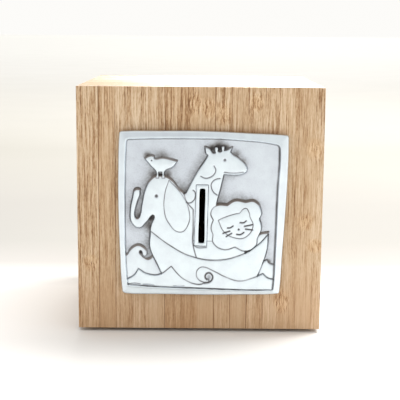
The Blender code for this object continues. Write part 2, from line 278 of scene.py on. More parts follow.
class Field:
    """A grid of points over the plaque, in mm, on which heights and distances are worked out."""

    def __init__(self, outline, spacing):
        low, high = outline.min(0) - 2 * spacing, outline.max(0) + 2 * spacing
        self.right = np.arange(low[0], high[0], spacing)
        self.up = np.arange(low[1], high[1], spacing)
        self.spacing = spacing
        self.shape = (len(self.up), len(self.right))
        self.u, self.v = np.meshgrid(self.right, self.up)

    def distance(self, line, closed=True):
        """How far each point is from the line, up to REACH."""
        found = np.full(self.shape, REACH)
        ends = np.roll(line, -1, 0) if closed else line[1:]
        for a, b in zip(line, ends):
            low, high = np.minimum(a, b) - REACH, np.maximum(a, b) + REACH
            i = np.searchsorted(self.right, (low[0], high[0]))
            j = np.searchsorted(self.up, (low[1], high[1]))
            window = np.s_[j[0]:j[1], i[0]:i[1]]
            pu, pv = self.u[window] - a[0], self.v[window] - a[1]
            du, dv = b - a
            t = np.clip((pu * du + pv * dv) / max(du * du + dv * dv, 1e-12), 0, 1)
            near = np.hypot(pu - t * du, pv - t * dv)
            found[window] = np.minimum(found[window], near)
        return found

    def inside(self, line):
        """True at the points inside the closed line."""
        within = np.zeros(self.shape, bool)
        for a, b in zip(line, np.roll(line, -1, 0)):
            low, high = (a, b) if a[1] < b[1] else (b, a)
            rows = np.arange(*np.searchsorted(self.up, (low[1], high[1])))
            if not len(rows):
                continue
            share = (self.up[rows] - low[1]) / (high[1] - low[1])
            crossing = low[0] + share * (high[0] - low[0])
            within[rows] ^= self.right[None, :] < crossing[:, None]
        return within

    def signed(self, line):
        """Distance to the closed line, below 0 inside it."""
        return np.where(self.inside(line), -1, 1) * self.distance(line)

    def blurred(self, values, width):
        """values smoothed by a Gaussian that many mm wide."""
        rows = np.fft.fftfreq(self.shape[0], self.spacing)[:, None]
        columns = np.fft.rfftfreq(self.shape[1], self.spacing)[None, :]
        fade = np.exp(-2 * (math.pi * width) ** 2 * (rows**2 + columns**2))
        return np.fft.irfft2(np.fft.rfft2(values) * fade, self.shape)

    def mottle(self, size, seed):
        """Smooth random values of about -1 to 1, in patches of that many mm."""
        noise = np.random.default_rng(seed).standard_normal(self.shape)
        soft = self.blurred(noise, size)
        return np.clip(soft / (2 * soft.std()), -1, 1)



def ease(low, high, values):
    t = np.clip((values - low) / (high - low), 0, 1)
    return t * t * (3 - 2 * t)


def sculpt(field, edge):
    """Height above the plaque's back in mm, how dark the patina and painted shade are, and how brown,
    from 0 to 1.
    """
    recess = field.signed(curve_points(RECESS_OUTLINE))
    upward, rightward = np.gradient(recess, field.spacing)
    floor = PLATE + 0.04 * field.mottle(4, 1)
    # The frame slopes up from its outer edge to a rounded bead, then drops to the floor
    across = np.clip(edge / np.minimum(edge - recess, -0.01), 0, 1)
    right, below = np.clip(rightward, 0, 1), np.clip(-upward, 0, 1)
    outer = RIM_OUTER + 0.4 * below
    frame = outer + (RIM - outer) * across + 0.04 * field.mottle(6, 2)
    frame += 0.13 * np.exp(-(((recess - 0.6) / 0.35) ** 2))
    inner = ease(0.35, -0.45, recess)
    height = frame + (floor - frame) * inner
    patina_and_shade = np.zeros(field.shape)
    brown = np.zeros(field.shape)

    for number, (outline, top, width, extra) in enumerate(RELIEF):
        gap = field.signed(curve_points(outline))
        free = ease(2.75, 2.4, height)
        climb = np.gradient(gap, field.spacing, axis=0)
        rising = ease(0.2, 0.9, climb) * free
        foot = 0.15 + extra * rising
        groove = np.exp(-(((gap - foot) / width) ** 2)) * inner
        body = ease(foot, -WALL, gap) * inner
        height -= 0.2 * groove * (1 - body)
        crown = top + 0.2 * (1 - np.exp(np.minimum(gap, 0) / 2))
        crown += 0.04 * field.mottle(4, 10 + number)
        height += (crown - height) * body
        # The upward-facing slope above a shape is darkened and browned: patina with painted shade
        upper_band_tarnish_and_shade = rising * extra * ease(foot + 0.3, foot - 0.2, gap) * ease(-0.35, 0, gap) * inner
        # The dark line round each shape is patina in its groove; as painted shade it is mostly left off
        # the shapes' lower sides
        line = (0.66 + 0.22 * field.mottle(1.4, 30 + number)) * groove
        line *= 1 - 0.75 * free * ease(0.1, 0.7, -climb)
        kept = ease(-0.2, 0.1, gap)
        patina_and_shade = np.maximum(patina_and_shade * kept, np.maximum(line, 0.62 * upper_band_tarnish_and_shade))
        brown = np.maximum(brown * kept, upper_band_tarnish_and_shade)

    for points, width, dark in ENGRAVED:
        away = field.distance(curve_points(points, closed=False), False)
        groove = np.exp(-((away / width) ** 2))
        height -= 0.3 * groove
        patina_and_shade = np.maximum(patina_and_shade, dark * groove)
    for u, v, radius, dark in DENTS:
        dent = np.exp(-((np.hypot(field.u - u, field.v - v) / radius) ** 4))
        height -= 0.35 * dent
        patina_and_shade = np.maximum(patina_and_shade, dark * dent)

    # The foot of the frame holds a line of patina, scratched below; painted shade makes it heaviest and
    # widest on the right, whose wall faces away from the light
    shade = 0.36 + 0.26 * right + 0.25 * below + 0.14 * np.clip(upward, 0, 1)
    scratched = 1 + (0.25 + 0.65 * below) * field.mottle(1.6, 5)
    narrow = 0.24 + 0.34 * right
    rim_line_tarnish_and_shade = shade * scratched * np.exp(-(((recess + 0.3) / narrow) ** 2))
    for u, v, radius, amount in WIPED:
        patina_and_shade *= 1 - amount * np.exp(-(np.hypot(field.u - u, field.v - v) / radius) ** 4)
    # Painted shade on the frame for the dim room it reflects: darker on its upper side, most towards the
    # left, and a little on its left side, with a faint mottle
    on_frame = ease(0.9, 1.3, recess) * ease(-0.6, -1.1, edge)
    tone = 0.02 + 0.13 * np.clip(upward, 0, 1) * ease(30, -10, field.u)
    tone += 0.05 * np.clip(-rightward, 0, 1) + 0.03 * field.mottle(5, 6)
    patina_and_shade = np.maximum(np.maximum(patina_and_shade, rim_line_tarnish_and_shade), tone * on_frame)

    corner = 0.8
    lost = corner - np.sqrt(np.clip(corner**2 - np.clip(corner + edge, 0, corner) ** 2, 0, None))
    height -= lost
    return height, patina_and_shade, brown, recess


def tarnish(field, height, patina_and_shade, brown, recess):
    """Adds the patina left in the low places, with painted shade in its halos round the raised shapes,
    and says how polished each point is.
    """
    # The frame gathers less patina and painted shade than the figures do, and most of it on the right
    frame = PLATE + 0.15 * ease(20, 38, field.u)
    wide = field.blurred(np.where(recess > -0.2, frame, height), 3.3)
    # Each halo is moved up and a little left of its shape: patina with painted shade
    above = round(1 / field.spacing)
    wide = np.clip(np.roll(wide, (above, -above // 2), (0, 1)) - height, 0, 1)
    speckle = 1 + 0.25 * field.mottle(0.3, 3) + 0.1 * field.mottle(1.5, 4)
    speckle *= 1 - 0.35 * ease(22, 36, field.u) * ease(10, -4, field.v)
    left = 0.38 * (1 - np.exp(-((wide / 0.42) ** 1.25))) * speckle
    for u, v, radius, amount in SOOT:
        away = np.hypot(field.u - u, field.v - v) / radius
        spot = amount * np.exp(-(away**2)) * (0.6 + 0.4 * speckle)
        left += spot
        brown = np.maximum(brown, 0.6 * spot)
    low = ease(2.7, 2.3, height)
    patina_and_shade = np.clip(np.maximum(patina_and_shade, left * low), 0, 1)
    # Towards the right the low places are made paler
    polish = 1 - low * (1 - 0.3 * ease(0, 35, field.u))
    return patina_and_shade, polish, brown


def cell_means(values):
    """The mean of the four corners of each cell of the grid."""
    return (values[:-1, :-1] + values[1:, :-1] + values[:-1, 1:] + values[1:, 1:]) / 4


def height_mesh(name, field, height, edge, hole, outer_line, hole_line):
    """A closed mesh: the field's surface trimmed to the outline and the hole, walls and a back."""
    kept = (cell_means(edge) < 0) & (cell_means(hole) > 0)
    number = np.arange(field.u.size).reshape(field.shape)
    quads = np.stack(
        [number[:-1, :-1], number[:-1, 1:], number[1:, 1:], number[1:, :-1]], -1
    )[kept]
    used, quads = np.unique(quads, return_inverse=True)
    quads = quads.reshape(-1, 4)
    flat = np.column_stack([field.u.ravel()[used], field.v.ravel()[used]])

    forward = height.ravel()[used]
    loops = boundary_loops(quads)
    for loop in loops:
        near_hole = abs(hole.ravel()[used][loop[0]]) < abs(edge.ravel()[used][loop[0]])
        flat[loop] = nearest_on(hole_line if near_hole else outer_line, flat[loop])
        if not near_hole:       # the rounded edge ends at one height all round
            forward[loop] = forward[loop].min()

    top = np.column_stack([flat[:, 0], -forward, flat[:, 1]])
    walls, back, points = [], [], [top]
    count = len(top)
    for loop in loops:
        under = top[loop] * (1, 0, 1)
        start = count
        points.append(under)
        count += len(loop)
        ring = np.arange(start, count)
        walls.append(np.column_stack([loop, np.roll(loop, -1), np.roll(ring, -1), ring])[:, ::-1])
        back.append(ring)
    points = np.concatenate(points)
    caps = tessellate_polygon([[Vector(points[i]) for i in ring] for ring in back])
    order = np.concatenate(back)
    faces = [*quads.tolist(), *np.concatenate(walls).tolist()]
    faces += [[int(order[i]) for i in cap] for cap in caps]
    points = points * MM + (CENTRE.x, PLAQUE_BACK, CENTRE.z)
    mesh = bpy.data.meshes.new(name)
    mesh.from_pydata(points.tolist(), [], faces)
    return mesh, used


def boundary_loops(quads):
    """The open edges of the quads, as closed loops of points."""
    edges = np.concatenate([quads[:, [k, (k + 1) % 4]] for k in range(4)])
    keys = edges.min(1) * np.int64(1 << 32) + edges.max(1)
    _, first, count = np.unique(keys, return_index=True, return_counts=True)
    following = dict(edges[first[count == 1]].tolist())
    loops = []
    while following:
        start, point = following.popitem()
        loop = [start]
        while point != start:
            loop.append(point)
            point = following.pop(point)
        loops.append(np.array(loop))
    return loops


def nearest_on(line, points):
    """The closest place on the closed line for each point."""
    a, b = line[None], np.roll(line, -1, 0)[None]
    along = b - a
    t = ((points[:, None] - a) * along).sum(-1) / (along**2).sum(-1)
    places = a + np.clip(t, 0, 1)[..., None] * along
    best = np.linalg.norm(points[:, None] - places, axis=-1).argmin(1)
    return places[np.arange(len(points)), best]


def set_attribute(mesh, name, values):
    layer = mesh.attributes.new(name, "FLOAT", "POINT")
    padded = np.zeros(len(mesh.vertices), np.float32)
    padded[:len(values)] = values
    layer.data.foreach_set("value", padded)


def make_plaque():
    outer_line, hole_line = curve_points(PLAQUE_OUTLINE), curve_points(COIN_SLOT)
    field = Field(outer_line, SPACING)
    edge, hole = field.signed(outer_line), field.signed(hole_line)
    height, patina_and_shade, brown, recess = sculpt(field, edge)
    height -= 0.35 * np.exp(-((np.maximum(hole, 0) / 0.35) ** 2))
    patina_and_shade, polish, brown = tarnish(field, height, patina_and_shade, brown, recess)
    mesh, used = height_mesh("plaque_casting", field, height, edge, hole, outer_line, hole_line)
    set_attribute(mesh, "patina_and_shade", patina_and_shade.ravel()[used])
    set_attribute(mesh, "polish", polish.ravel()[used])
    set_attribute(mesh, "brown", brown.ravel()[used])
    return finish_piece("plaque_casting", mesh, "cast_metal", "plaque", material=metal())


# ---------------------------------------------------------------- pieces

def finish_piece(name, mesh, slot, *nodes, body="box", material=None, angle=40):
    """Makes the object, in place of the CAD nodes, riding on its body."""
    obj = bpy.data.objects.new(name, mesh)
    bpy.context.scene.collection.objects.link(obj)
    mesh.materials.append(material)
    mesh.shade_smooth()
    mesh.set_sharp_from_angle(angle=math.radians(angle))
    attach(obj, body)
    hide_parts(*nodes)
    return obj


def prism_mesh(name, loops, place, thickness, edge, matrix=Matrix.Identity(4), segments=3):
    """A board of that thickness from an outer loop and its holes, drawn in X and Z."""
    bm = bmesh.new()
    rings = []
    for loop in loops:
        rings.append([bm.verts.new((x, 0, z)) for x, z in loop])
    flat = [v for ring in rings for v in ring]
    for cap in tessellate_polygon([[v.co for v in ring] for ring in rings]):
        bm.faces.new([flat[i] for i in cap])
    bmesh.ops.recalc_face_normals(bm, faces=bm.faces)
    made = bmesh.ops.extrude_face_region(bm, geom=bm.faces)
    moved = [v for v in made["geom"] if isinstance(v, bmesh.types.BMVert)]
    bmesh.ops.translate(bm, verts=moved, vec=(0, thickness, 0))
    bmesh.ops.recalc_face_normals(bm, faces=bm.faces)
    bmesh.ops.dissolve_limit(bm, angle_limit=0.001, verts=bm.verts, edges=bm.edges)
    corners = [e for e in bm.edges if e.calc_face_angle(0) > math.radians(60)]
    bmesh.ops.bevel(
        bm, geom=corners, offset=edge, segments=segments, profile=0.5, affect="EDGES"
    )
    bmesh.ops.transform(bm, verts=bm.verts, matrix=Matrix.Translation(place) @ matrix)
    mesh = bpy.data.meshes.new(name)
    bm.to_mesh(mesh)
    bm.free()
    return mesh


def rectangle(low, high):
    return [(low[0], low[1]), (high[0], low[1]), (high[0], high[1]), (low[0], high[1])]


def slot_loop():
    """The hole behind the plaque's slot, with round corners, in metres from the panel's middle."""
    corner, half_width, half_height, arc = 3.5, 4.0, 17.5, 8
    middle = (0.7, -1.8)
    loop = []
    for quarter, (right, up) in enumerate([(1, 1), (-1, 1), (-1, -1), (1, -1)]):
        for step in range(arc + 1):
            turn = math.radians(90) * (quarter + step / arc)
            x = middle[0] + right * (half_width - corner) + corner * math.cos(turn)
            z = middle[1] + up * (half_height - corner) + corner * math.sin(turn)
            loop.append((x * MM, z * MM))
    return loop


def round_loop(radius, sides=96):
    turns = [2 * math.pi * k / sides for k in range(sides)]
    return [(radius * math.cos(t), radius * math.sin(t)) for t in turns]


def board(node, along, across, seed, loops=(), strips=(), knuckles=()):
    """One bamboo board in the box of its CAD node, grown by all but a glue line."""
    low, high = (v.copy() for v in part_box(node))
    low, high = grown(node, low, high)
    size, middle = high - low, (low + high) / 2
    mesh = prism_mesh(
        f"{node}_board",
        [rectangle((-size.x / 2, -size.z / 2), (size.x / 2, size.z / 2)), *loops],
        (middle.x, low.y, middle.z),
        size.y,
        BOARD_EDGE,
    )
    material = bamboo(f"{node}_bamboo", along, across, seed, strips, knuckles)
    return finish_piece(f"{node}_board", mesh, "bamboo", node, material=material)


def grown(node, low, high):
    """Closes the frame's gaps between the boards down to a glue line."""
    (_, front_end), (back_start, _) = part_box("front_panel"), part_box("back_panel")
    if node not in ("front_panel", "back_panel"):
        low.y, high.y = front_end.y + SEAM, back_start.y - SEAM
    if node in ("left_panel", "right_panel"):
        high.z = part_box("top_panel")[0].z - SEAM
    if node == "base_panel":
        low.x, high.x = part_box("left_panel")[1].x + SEAM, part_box("right_panel")[0].x - SEAM
    return low, high


def base_board(seed):
    """The base lies flat, so it is drawn upright and turned down, with its round hole."""
    low, high = grown("base_panel", *(v.copy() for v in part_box("base_panel")))
    size = high - low
    hole_y = (cad_bounds[0].y + cad_bounds[1].y) / 2
    loops = [
        rectangle((-size.x / 2, low.y - hole_y), (size.x / 2, high.y - hole_y)),
        round_loop(HOLE_RADIUS),
    ]
    mesh = prism_mesh(
        "base_panel_board", loops, (0, hole_y, high.z), size.z, BOARD_EDGE,
        Matrix.Rotation(math.radians(-90), 4, "X"),
    )
    material = bamboo("base_panel_bamboo", "X", "Y", seed)
    return finish_piece("base_panel_board", mesh, "bamboo", "base_panel", material=material)


def lathe_mesh(name, profile, place, sides=96):
    """A turned solid from (radius, height) pairs that start and end on the vertical axis."""
    turns = np.linspace(0, 2 * math.pi, sides, endpoint=False)
    points, rings = [], []
    for radius, up in profile:
        first = len(points)
        if radius == 0:
            points.append((0, 0, up))
            rings.append([first] * sides)
        else:
            points += [(radius * math.cos(t), radius * math.sin(t), up) for t in turns]
            rings.append(list(range(first, first + sides)))
    faces = []
    for upper, lower in zip(rings, rings[1:]):
        for k in range(sides):
            n = (k + 1) % sides
            face = [upper[k], lower[k], lower[n], upper[n]]
            faces.append(list(dict.fromkeys(face)))
    mesh = bpy.data.meshes.new(name)
    mesh.from_pydata(points, [], faces)
    mesh.transform(Matrix.Translation(place))
    return mesh


def rounded(corners, radius, steps=5):
    """The (radius, height) profile with its inner points rounded off."""
    points = [Vector(c) for c in corners]
    out = [points[0]]
    for before, at, after in zip(points, points[1:], points[2:]):
        reach = min(radius, (before - at).length / 2.1, (after - at).length / 2.1)
        a = at + (before - at).normalized() * reach
        b = at + (after - at).normalized() * reach
        for k in range(steps + 1):
            t = k / steps
            out.append((1 - t) ** 2 * a + 2 * (1 - t) * t * at + t * t * b)
    return [tuple(p) for p in (*out, points[-1])]


def carve(obj, cutter_mesh):
    """Cuts a closed mesh out of the object's own mesh."""
    cutter = bpy.data.objects.new("cutter", cutter_mesh)
    bpy.context.scene.collection.objects.link(cutter)
    modifier = obj.modifiers.new("carve", "BOOLEAN")
    modifier.object = cutter
    bpy.context.view_layer.update()
    graph = bpy.context.evaluated_depsgraph_get()
    carved = bpy.data.meshes.new_from_object(obj.evaluated_get(graph))
    obj.modifiers.remove(modifier)
    obj.data = carved
    bpy.data.objects.remove(cutter)


def make_stopper():
    """The moulded plug: a hollow cup with grip ribs, and a flange with a raised ring and a notch."""
    low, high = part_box("stopper")
    centre = ((low.x + high.x) / 2, cad_bounds[0].lerp(cad_bounds[1], 0.5).y, low.z)
    flange, plug, wall, rib = (high.x - low.x) / 2, 18.7 * MM, 2.2 * MM, 0.35 * MM
    top, shelf, floor = high.z - low.z, 1.0 * MM, 3.4 * MM
    ribs = []
    for up in (9.5, 7.0, 4.5):
        ribs += [
            (plug - rib, (up + 0.7) * MM), (plug, up * MM), (plug - rib, (up - 0.7) * MM),
        ]
    ring, groove = 13 * MM, 0.25 * MM
    profile = [
        (0, floor), (plug - wall - 1 * MM, floor), (plug - wall, floor + 1 * MM),
        (plug - wall, top), (plug - 1 * MM, top), (plug - rib, top - 0.8 * MM), *ribs,
        (plug - rib, shelf), (flange, shelf), (flange, groove),
        (ring + 1 * MM, groove), (ring + 0.6 * MM, 0), (ring - 0.6 * MM, 0),
        (ring - 1 * MM, groove), (3 * MM, groove), (2 * MM, 2 * groove), (0, 2 * groove),
    ]
    mesh = lathe_mesh("stopper_plug", rounded(profile, 0.4 * MM), centre)
    obj = finish_piece(
        "stopper_plug", mesh, "soft_rubber", "stopper", body="stopper", material=rubber()
    )
    notch = lathe_mesh(
        "notch",
        [(0, 0.6 * MM), (3 * MM, 0.6 * MM), (3 * MM, -1 * MM), (0, -1 * MM)],
        (centre[0], low.y - 0.1 * MM, centre[2]),
        sides=33,
    )
    carve(obj, notch)
    obj.data.set_sharp_from_angle(angle=math.radians(40))


def make_feet():
    """Pressed felt discs. Their sides are a little ragged, as cut felt is."""
    draw = np.random.default_rng(7)
    material = felt()
    for node in sorted(n for n in frame["nodes"] if n.startswith("foot_")):
        low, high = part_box(node)
        radius, height = (high.x - low.x) / 2, front_low.z - low.z
        centre = ((low.x + high.x) / 2, (low.y + high.y) / 2, low.z)
        profile = rounded([(0, height), (radius, height), (radius, 0), (0, 0)], 0.3 * MM)
        mesh = lathe_mesh(f"{node}_felt", profile, centre, sides=120)
        points = np.array([v.co for v in mesh.vertices])
        outward = points[:, :2] - centre[:2]
        reach = np.linalg.norm(outward, axis=1)
        rim = reach > 0.8 * radius
        points[rim, :2] -= outward[rim] * (0.02 * draw.random(rim.sum()))[:, None]
        mesh.vertices.foreach_set("co", points.astype(np.float32).ravel())
        finish_piece(f"{node}_felt", mesh, "felt", node, material=material)


def make_foam_pad():
    """Double-sided foam between the plaque and the wood, a little smaller than the plaque."""
    outline = curve_points(PLAQUE_OUTLINE, steps=4) * 0.95 * MM
    thickness = FRONT - PLAQUE_BACK
    mesh = prism_mesh(
        "foam_pad_sheet",
        [outline.tolist(), slot_loop()],
        (CENTRE.x, PLAQUE_BACK, CENTRE.z),
        thickness,
        0.05 * MM,
        segments=1,
    )
    return finish_piece("foam_pad_sheet", mesh, "foam", "foam_pad", material=foam())


# ---------------------------------------------------------------- materials

class Shading:
    """A material's node tree, with short ways to add the nodes that these materials share."""

    def __init__(self, name):
        self.material = bpy.data.materials.new(name)
        self.material.use_nodes = True
        self.tree = self.material.node_tree
        self.shader = self.tree.nodes["Principled BSDF"]

    def put(self, socket, value):
        if isinstance(value, bpy.types.NodeSocket):
            self.tree.links.new(value, socket)
        elif value is not None:
            socket.default_value = value

    def add(self, kind, inputs=(), output=0, **settings):
        node = self.tree.nodes.new(f"ShaderNode{kind}")
        for key, value in settings.items():
            setattr(node, key, value)
        for key, value in dict(inputs).items():
            self.put(node.inputs[key], value)
        return node.outputs[output]

    def math(self, operation, *values, clamp=False):
        return self.add("Math", enumerate(values), operation=operation, use_clamp=clamp)

    def combine(self, x, y, z):
        return self.add("CombineXYZ", {0: x, 1: y, 2: z})

    def noise(self, vector, scale=1.0, detail=2.0, roughness=0.5, output=0):
        inputs = {"Vector": vector, "Scale": scale, "Detail": detail, "Roughness": roughness}
        return self.add("TexNoise", inputs, output)

    def between(self, value, low, high, start=0.0, end=1.0):
        """value moved smoothly from low..high to start..end, and held outside."""
        inputs = {0: value, 1: low, 2: high, 3: start, 4: end}
        return self.add("MapRange", inputs, interpolation_type="SMOOTHSTEP")

    def mix(self, share, a, b, blend="MIX"):
        inputs = {0: share, 6: a, 7: b}
        return self.add("Mix", inputs, 2, data_type="RGBA", blend_type=blend)

    def ramp(self, value, *stops, interpolation="LINEAR"):
        output = self.add("ValToRGB", {0: value})
        colours = output.node.color_ramp
        colours.interpolation = interpolation
        for place, _ in stops[1:-1]:
            colours.elements.new(place)
        for element, (place, colour) in zip(colours.elements, stops):
            element.position, element.color = place, (*colour, 1)
        return output

    def bump(self, height, strength, distance):
        inputs = {"Height": height, "Strength": strength, "Distance": distance}
        return self.add("Bump", inputs)

    def surface(self, **sockets):
        for key, value in sockets.items():
            self.put(self.shader.inputs[key.replace("_", " ").title().replace("Ior", "IOR")], value)
        return self.material


# Wood tones from dark fibre to pale pith, as (place on the ramp, colour)
WOOD_TONES = [
    (0.0, (0.21, 0.104, 0.04)), (0.22, (0.365, 0.212, 0.10)), (0.45, (0.513, 0.35, 0.205)),
    (0.7, (0.602, 0.446, 0.292)), (1.0, (0.69, 0.54, 0.38)),
]
END_TONES = [(0.0, (0.13, 0.07, 0.032)), (0.45, (0.34, 0.21, 0.11)), (1.0, (0.56, 0.40, 0.245))]
# The front's strips from the left: how pale (0.5 is the middle), how orange, how dark the
# glue line on the strip's left is
FRONT_STRIPS = [
    (0.45, 0.4, 0.2), (0.50, 0.4, 0.3), (0.46, 0.6, 1.0), (0.50, 0.3, 0.6), (0.56, 0.2, 0.6),
    (0.56, 0.2, 0.3), (0.42, 0.8, 0.9), (0.40, 0.9, 0.3), (0.52, 0.5, 0.3), (0.50, 0.3, 0.8),
    (0.50, 0.3, 0.8), (0.54, 0.5, 0.9), (0.58, 0.4, 0.8), (0.53, 0.5, 0.2), (0.55, 0.4, 0.5),
    (0.58, 0.3, 0.2),
]
FIRST_STRIP = -62.5 * MM   # the left edge of the front's first whole strip
# Knuckles on the front: right of and above its middle, and half its height, in mm
FRONT_KNUCKLES = [
    (-3, 56, 8), (4.5, 54, 7), (12, 51, 8), (29, 57, 6), (60, 33, 7), (56, -6, 6),
    (61.5, -19, 5), (-58, -29, 6), (44, -49, 9),
]


def bamboo(name, along, across, seed, strips=(), knuckles=()):
    """Laminated bamboo: strips side by side, fibres along them, and end grain on the cut ends."""
    s = Shading(name)
    place = s.add("TexCoord", output="Object")
    axes = dict(zip("XYZ", s.add("SeparateXYZ", {0: place}).node.outputs))
    run, side = axes.pop(along), axes.pop(across)
    through = axes.popitem()[1]

    shift = 1 - FIRST_STRIP / STRIP if strips else 6.17 + 0.37 * seed
    steps = s.math("ADD", s.math("DIVIDE", side, STRIP), shift)
    number = s.math("FLOOR", steps)
    within = s.math("SUBTRACT", steps, number)
    if strips:
        share = s.math("DIVIDE", s.math("ADD", number, 0.5), len(strips))
        stops = [(k / len(strips), strip) for k, strip in enumerate(strips)]
        own = s.ramp(share, *stops, interpolation="CONSTANT")
    else:
        own = s.add("TexWhiteNoise", {"W": s.math("ADD", number, 31.7 * seed + 0.5)},
                    "Color", noise_dimensions="1D")
    tone, warmth, lined = s.add("SeparateColor", {0: own}).node.outputs[:3]
    if not strips:
        tone = s.between(tone, 0, 1, 0.4, 0.6)

    # The fibres sway a little, and part round the knuckles
    knuckle = knuckle_mask(s, run, side, warmth, knuckles)
    sway = s.noise(s.combine(s.math("MULTIPLY", number, 7.3), s.math("MULTIPLY", run, 30), seed))
    ripple = s.noise(s.combine(s.math("MULTIPLY", side, 240), s.math("MULTIPLY", run, 90), seed))
    gnarl = s.noise(place, 520, 2)
    bend = s.math("MULTIPLY_ADD", s.math("SUBTRACT", sway, 0.5), 0.0012, side)
    bend = s.math("MULTIPLY_ADD", s.math("SUBTRACT", ripple, 0.5), 0.0005, bend)
    push = s.math("MULTIPLY", s.math("SUBTRACT", gnarl, 0.5), s.math("MULTIPLY", knuckle, 0.0014))
    bend = s.math("ADD", bend, s.math("MULTIPLY_ADD", number, 0.137, push))

    def fibres(across_scale, along_scale, detail=1.0):
        vector = s.combine(
            s.math("MULTIPLY", bend, across_scale),
            s.math("MULTIPLY", run, along_scale),
            s.math("MULTIPLY", through, across_scale),
        )
        return s.math("SUBTRACT", s.noise(vector, 1, detail, 0.6), 0.5)

    grain = s.math("MULTIPLY", fibres(420, 8), 0.7)
    grain = s.math("MULTIPLY_ADD", fibres(1250, 20), 0.95, grain)
    grain = s.math("MULTIPLY_ADD", fibres(2300, 60), 1.35, grain)
    grain = s.math("MULTIPLY_ADD", fibres(3000, 260), 0.9, grain)
    grain = s.math("MULTIPLY_ADD", fibres(2600, 700), 0.5, grain)
    # The front is more worn towards its lower edge, so its grain shows less there, and painted warm
    # shade darkens it there
    wear_and_shade = s.between(run, CENTRE.z - 0.058, CENTRE.z - 0.02, 1, 0) if strips else 0.0
    even = s.add("TexWhiteNoise", {"W": s.math("ADD", number, 3.3 + seed)}, noise_dimensions="1D")
    even = s.between(even, 0, 1, 0.62, 1.05)
    if strips:
        even = s.math("MULTIPLY", even, s.between(run, CENTRE.z + 0.03, CENTRE.z + 0.05, 1, 1.25))
    level = s.math("MULTIPLY_ADD", wear_and_shade, -0.35, even)
    level = s.math("MULTIPLY_ADD", grain, level, tone)
    lean = s.math("MULTIPLY", s.math("SUBTRACT", within, 0.5), s.math("SUBTRACT", warmth, 0.5))
    level = s.math("MULTIPLY_ADD", lean, 0.3, level)
    specks = fibres(1900, 230, 3)
    level = s.math("MULTIPLY_ADD", s.math("MULTIPLY", specks, knuckle), 2.8, level)
    glue = s.math("MULTIPLY", s.between(within, 0.02, 0.075, 1, 0), lined)
    level = s.math("MULTIPLY_ADD", glue, -0.55, level)
    wood = s.ramp(level, *WOOD_TONES)
    orange = s.math("MAXIMUM", s.math("MULTIPLY", warmth, 0.5), s.math("MULTIPLY", knuckle, 0.75))
    wood = s.mix(orange, wood, (1.02, 0.93, 0.80, 1), "MULTIPLY")
    # Painted warm shade: darker and warmer towards the front's lower edge
    wood = s.mix(wear_and_shade, wood, (0.98, 0.925, 0.89, 1), "MULTIPLY")
    if strips:
        # A painted shadow on the wood along the plaque's upper edge
        wood = s.mix(plaque_painted_shadow(s, run, side), wood, (0.86, 0.76, 0.68, 1), "MULTIPLY")

    normal = s.add("SeparateXYZ", {0: s.add("TexCoord", output="Normal")})
    is_end = s.between(s.math("ABSOLUTE", normal.node.outputs["XYZ".index(along)]), 0.6, 0.8)
    bundles = s.add("TexVoronoi", {"Vector": place, "Scale": 1100}, "Distance")
    cut = s.math("MULTIPLY_ADD", fibres(420, 9), 0.9, s.between(bundles, 0.1, 0.5, 0.1, 0.75))
    cut = s.math("MULTIPLY_ADD", glue, -0.5, cut)
    wood = s.mix(is_end, wood, s.ramp(cut, *END_TONES))
    return s.surface(
        base_color=wood,
        roughness=s.between(level, 0.2, 0.8, 0.56, 0.42),
        normal=s.bump(level, 0.3, 0.00006),
    )


def plaque_painted_shadow(s, run, side):
    """1 along the plaque's upper edge, where a painted shadow darkens the wood."""
    up = s.math("SUBTRACT", run, CENTRE.z + PLAQUE_TOP)
    across = s.math("ABSOLUTE", s.math("SUBTRACT", side, CENTRE.x + 1.5 * MM))
    band = s.math("MULTIPLY", s.between(up, 0.0005, 0.0035, 1, 0), s.between(up, -0.003, 0))
    return s.math("MULTIPLY", band, s.between(across, 0.041, 0.046, 1, 0))


def knuckle_mask(s, run, side, shift, spots):
    """1 in the middle of a knuckle. The spots are given, or each strip has one every 230 mm."""
    if not spots:
        period = 0.23
        phase = s.math("FRACT", s.math("ADD", s.math("DIVIDE", run, period), shift))
        away = s.math("MULTIPLY", s.math("ABSOLUTE", s.math("SUBTRACT", phase, 0.5)), period)
        return s.between(away, 0.002, 0.009, 1, 0)
    mask = 0.0
    for right, up, half in spots:
        apart = s.math("DIVIDE", s.math("SUBTRACT", side, CENTRE.x + right * MM), STRIP * 0.6)
        above = s.math("DIVIDE", s.math("SUBTRACT", run, CENTRE.z + up * MM), half * MM)
        square = s.math("ADD", s.math("POWER", s.math("ABSOLUTE", apart), 2),
                        s.math("POWER", s.math("ABSOLUTE", above), 2))
        mask = s.math("MAXIMUM", s.between(square, 0.1, 1.2, 1, 0), mask)
    return mask


